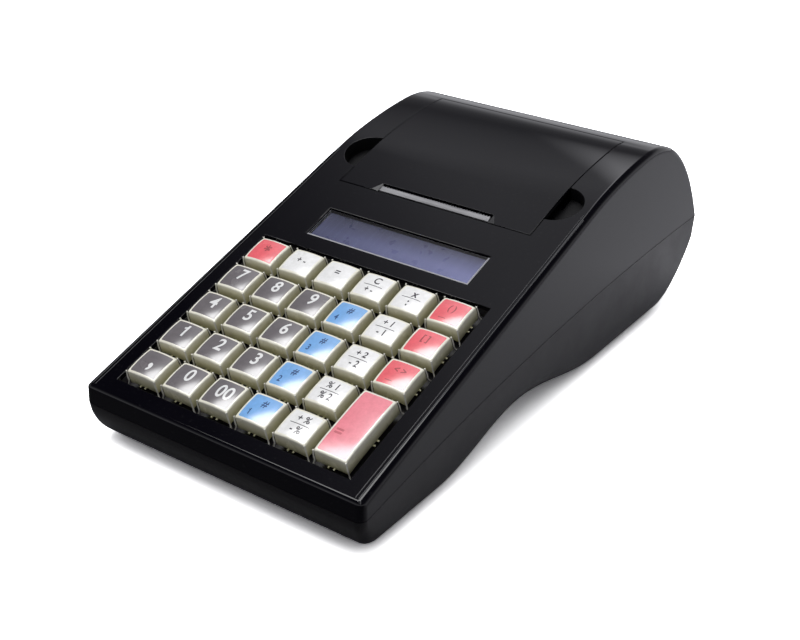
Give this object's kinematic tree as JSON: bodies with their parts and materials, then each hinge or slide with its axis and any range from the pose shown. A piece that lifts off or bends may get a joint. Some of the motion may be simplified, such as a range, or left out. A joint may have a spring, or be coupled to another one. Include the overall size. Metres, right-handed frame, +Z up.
{
  "type": "ticket register",
  "caption": "Portable ticket register with sloping keyboard, display window and a receipt printer under a hinged lid, on an arched base with rubber feet.",
  "frame": {"origin": "centre of the bounding box's bottom face, on the ground under the register", "axes": "+Z up, +Y from the keyboard's front edge to the rear, +X to the right of a person at the keyboard"},
  "size_m": [0.14, 0.288, 0.0944],
  "materials": {
    "cover_gloss_black": "glossy black moulding, satin on its sides",
    "base_satin_black": "satin black moulding",
    "inner_black": "matt black moulding",
    "socket_black": "black connector plastic",
    "window_clear": "clear polished window",
    "lcd": "blue violet display surface",
    "circuit_board": "green solder resist",
    "mat_rubber": "dark silicone rubber",
    "foot_rubber": "black rubber",
    "tear_steel": "brushed",
    "steel": "plain zinc plated",
    "head_aluminium": "satin",
    "gear_nylon": "white nylon",
    "paper": "smooth thermal paper",
    "card": "brown card",
    "battery_blue": "blue shrink sleeve",
    "key_grey": "clear capped key, grey insert",
    "key_white": "clear capped key, white insert",
    "key_red": "clear capped key, red insert",
    "key_total": "clear capped long key, red insert",
    "key_blue": "clear capped key, blue insert"
  },
  "bodies": {
    "casing": {"top_cover": "cover_gloss_black", "base_shell": "base_satin_black", "battery_door": "base_satin_black", "key_plate": "inner_black", "paper_tub": "inner_black", "dc_jack": "socket_black", "data_socket": "socket_black", "display_window": "window_clear", "lcd_module": "lcd", "display_board": "circuit_board", "key_board": "circuit_board", "main_board": "circuit_board", "key_mat": "mat_rubber", "foot_front_left": "foot_rubber", "foot_front_right": "foot_rubber", "foot_rear_left": "foot_rubber", "foot_rear_right": "foot_rubber", "tear_bar": "tear_steel", "lid_pin_left": "steel", "lid_pin_right": "steel", "printer_frame": "steel", "stepper_motor": "steel", "thermal_head": "head_aluminium", "battery_pack": "battery_blue"},
    "lid": {"printer_lid": "cover_gloss_black"},
    "roll": {"paper_roll": "paper", "paper_core": "card"},
    "pinion": {"motor_pinion": "steel"},
    "idler": {"idler_gear": "gear_nylon"},
    "platen": {"platen_roller": "mat_rubber", "platen_gear": "gear_nylon"},
    "key_red_1": {"key_red_1": "key_red"},
    "key_white_1": {"key_white_1": "key_white"},
    "key_white_2": {"key_white_2": "key_white"},
    "key_white_3": {"key_white_3": "key_white"},
    "key_white_4": {"key_white_4": "key_white"},
    "key_red_2": {"key_red_2": "key_red"},
    "key_7": {"key_7": "key_grey"},
    "key_8": {"key_8": "key_grey"},
    "key_9": {"key_9": "key_grey"},
    "key_blue_1": {"key_blue_1": "key_blue"},
    "key_white_5": {"key_white_5": "key_white"},
    "key_red_3": {"key_red_3": "key_red"},
    "key_4": {"key_4": "key_grey"},
    "key_5": {"key_5": "key_grey"},
    "key_6": {"key_6": "key_grey"},
    "key_blue_2": {"key_blue_2": "key_blue"},
    "key_white_6": {"key_white_6": "key_white"},
    "key_red_4": {"key_red_4": "key_red"},
    "key_1": {"key_1": "key_grey"},
    "key_2": {"key_2": "key_grey"},
    "key_3": {"key_3": "key_grey"},
    "key_blue_3": {"key_blue_3": "key_blue"},
    "key_white_7": {"key_white_7": "key_white"},
    "key_total": {"key_total": "key_total"},
    "key_comma": {"key_comma": "key_grey"},
    "key_0": {"key_0": "key_grey"},
    "key_00": {"key_00": "key_grey"},
    "key_blue_4": {"key_blue_4": "key_blue"},
    "key_white_8": {"key_white_8": "key_white"}
  },
  "joints": [
    {"name": "lid_hinge", "type": "hinge", "parent": "casing", "child": "lid", "pos_m": [0, 0.0782, 0.09158], "axis": [-1, 0, 0], "range_deg": [0, 75]},
    {"name": "roll_turn", "type": "hinge", "parent": "casing", "child": "roll", "pos_m": [0, 0.056, 0.0568], "axis": [1, 0, 0], "continuous": true},
    {"name": "platen_turn", "type": "hinge", "parent": "casing", "child": "platen", "pos_m": [0, 0.0115, 0.0645], "axis": [1, 0, 0], "continuous": true},
    {"name": "idler_turn", "type": "hinge", "parent": "casing", "child": "idler", "pos_m": [0, 0.0245, 0.05386], "axis": [1, 0, 0], "continuous": true},
    {"name": "pinion_turn", "type": "hinge", "parent": "casing", "child": "pinion", "pos_m": [0, 0.012, 0.0485], "axis": [1, 0, 0], "continuous": true},
    {"name": "key_red_1_press", "type": "slide", "parent": "casing", "child": "key_red_1", "axis": [0, 0.3206, -0.9472], "range_m": [0, 0.003], "stiffness_N_per_m": 120, "springref_m": -0.003},
    {"name": "key_white_1_press", "type": "slide", "parent": "casing", "child": "key_white_1", "axis": [0, 0.3206, -0.9472], "range_m": [0, 0.003], "stiffness_N_per_m": 120, "springref_m": -0.003},
    {"name": "key_white_2_press", "type": "slide", "parent": "casing", "child": "key_white_2", "axis": [0, 0.3206, -0.9472], "range_m": [0, 0.003], "stiffness_N_per_m": 120, "springref_m": -0.003},
    {"name": "key_white_3_press", "type": "slide", "parent": "casing", "child": "key_white_3", "axis": [0, 0.3206, -0.9472], "range_m": [0, 0.003], "stiffness_N_per_m": 120, "springref_m": -0.003},
    {"name": "key_white_4_press", "type": "slide", "parent": "casing", "child": "key_white_4", "axis": [0, 0.3206, -0.9472], "range_m": [0, 0.003], "stiffness_N_per_m": 120, "springref_m": -0.003},
    {"name": "key_red_2_press", "type": "slide", "parent": "casing", "child": "key_red_2", "axis": [0, 0.3206, -0.9472], "range_m": [0, 0.003], "stiffness_N_per_m": 120, "springref_m": -0.003},
    {"name": "key_7_press", "type": "slide", "parent": "casing", "child": "key_7", "axis": [0, 0.3206, -0.9472], "range_m": [0, 0.003], "stiffness_N_per_m": 120, "springref_m": -0.003},
    {"name": "key_8_press", "type": "slide", "parent": "casing", "child": "key_8", "axis": [0, 0.3206, -0.9472], "range_m": [0, 0.003], "stiffness_N_per_m": 120, "springref_m": -0.003},
    {"name": "key_9_press", "type": "slide", "parent": "casing", "child": "key_9", "axis": [0, 0.3206, -0.9472], "range_m": [0, 0.003], "stiffness_N_per_m": 120, "springref_m": -0.003},
    {"name": "key_blue_1_press", "type": "slide", "parent": "casing", "child": "key_blue_1", "axis": [0, 0.3206, -0.9472], "range_m": [0, 0.003], "stiffness_N_per_m": 120, "springref_m": -0.003},
    {"name": "key_white_5_press", "type": "slide", "parent": "casing", "child": "key_white_5", "axis": [0, 0.3206, -0.9472], "range_m": [0, 0.003], "stiffness_N_per_m": 120, "springref_m": -0.003},
    {"name": "key_red_3_press", "type": "slide", "parent": "casing", "child": "key_red_3", "axis": [0, 0.3206, -0.9472], "range_m": [0, 0.003], "stiffness_N_per_m": 120, "springref_m": -0.003},
    {"name": "key_4_press", "type": "slide", "parent": "casing", "child": "key_4", "axis": [0, 0.3206, -0.9472], "range_m": [0, 0.003], "stiffness_N_per_m": 120, "springref_m": -0.003},
    {"name": "key_5_press", "type": "slide", "parent": "casing", "child": "key_5", "axis": [0, 0.3206, -0.9472], "range_m": [0, 0.003], "stiffness_N_per_m": 120, "springref_m": -0.003},
    {"name": "key_6_press", "type": "slide", "parent": "casing", "child": "key_6", "axis": [0, 0.3206, -0.9472], "range_m": [0, 0.003], "stiffness_N_per_m": 120, "springref_m": -0.003},
    {"name": "key_blue_2_press", "type": "slide", "parent": "casing", "child": "key_blue_2", "axis": [0, 0.3206, -0.9472], "range_m": [0, 0.003], "stiffness_N_per_m": 120, "springref_m": -0.003},
    {"name": "key_white_6_press", "type": "slide", "parent": "casing", "child": "key_white_6", "axis": [0, 0.3206, -0.9472], "range_m": [0, 0.003], "stiffness_N_per_m": 120, "springref_m": -0.003},
    {"name": "key_red_4_press", "type": "slide", "parent": "casing", "child": "key_red_4", "axis": [0, 0.3206, -0.9472], "range_m": [0, 0.003], "stiffness_N_per_m": 120, "springref_m": -0.003},
    {"name": "key_1_press", "type": "slide", "parent": "casing", "child": "key_1", "axis": [0, 0.3206, -0.9472], "range_m": [0, 0.003], "stiffness_N_per_m": 120, "springref_m": -0.003},
    {"name": "key_2_press", "type": "slide", "parent": "casing", "child": "key_2", "axis": [0, 0.3206, -0.9472], "range_m": [0, 0.003], "stiffness_N_per_m": 120, "springref_m": -0.003},
    {"name": "key_3_press", "type": "slide", "parent": "casing", "child": "key_3", "axis": [0, 0.3206, -0.9472], "range_m": [0, 0.003], "stiffness_N_per_m": 120, "springref_m": -0.003},
    {"name": "key_blue_3_press", "type": "slide", "parent": "casing", "child": "key_blue_3", "axis": [0, 0.3206, -0.9472], "range_m": [0, 0.003], "stiffness_N_per_m": 120, "springref_m": -0.003},
    {"name": "key_white_7_press", "type": "slide", "parent": "casing", "child": "key_white_7", "axis": [0, 0.3206, -0.9472], "range_m": [0, 0.003], "stiffness_N_per_m": 120, "springref_m": -0.003},
    {"name": "key_total_press", "type": "slide", "parent": "casing", "child": "key_total", "axis": [0, 0.3206, -0.9472], "range_m": [0, 0.003], "stiffness_N_per_m": 120, "springref_m": -0.003},
    {"name": "key_comma_press", "type": "slide", "parent": "casing", "child": "key_comma", "axis": [0, 0.3206, -0.9472], "range_m": [0, 0.003], "stiffness_N_per_m": 120, "springref_m": -0.003},
    {"name": "key_0_press", "type": "slide", "parent": "casing", "child": "key_0", "axis": [0, 0.3206, -0.9472], "range_m": [0, 0.003], "stiffness_N_per_m": 120, "springref_m": -0.003},
    {"name": "key_00_press", "type": "slide", "parent": "casing", "child": "key_00", "axis": [0, 0.3206, -0.9472], "range_m": [0, 0.003], "stiffness_N_per_m": 120, "springref_m": -0.003},
    {"name": "key_blue_4_press", "type": "slide", "parent": "casing", "child": "key_blue_4", "axis": [0, 0.3206, -0.9472], "range_m": [0, 0.003], "stiffness_N_per_m": 120, "springref_m": -0.003},
    {"name": "key_white_8_press", "type": "slide", "parent": "casing", "child": "key_white_8", "axis": [0, 0.3206, -0.9472], "range_m": [0, 0.003], "stiffness_N_per_m": 120, "springref_m": -0.003}
  ],
  "couplings": [
    {"joint": "idler_turn", "follows": "platen_turn", "ratio": -0.75},
    {"joint": "pinion_turn", "follows": "platen_turn", "ratio": 1.8}
  ]
}
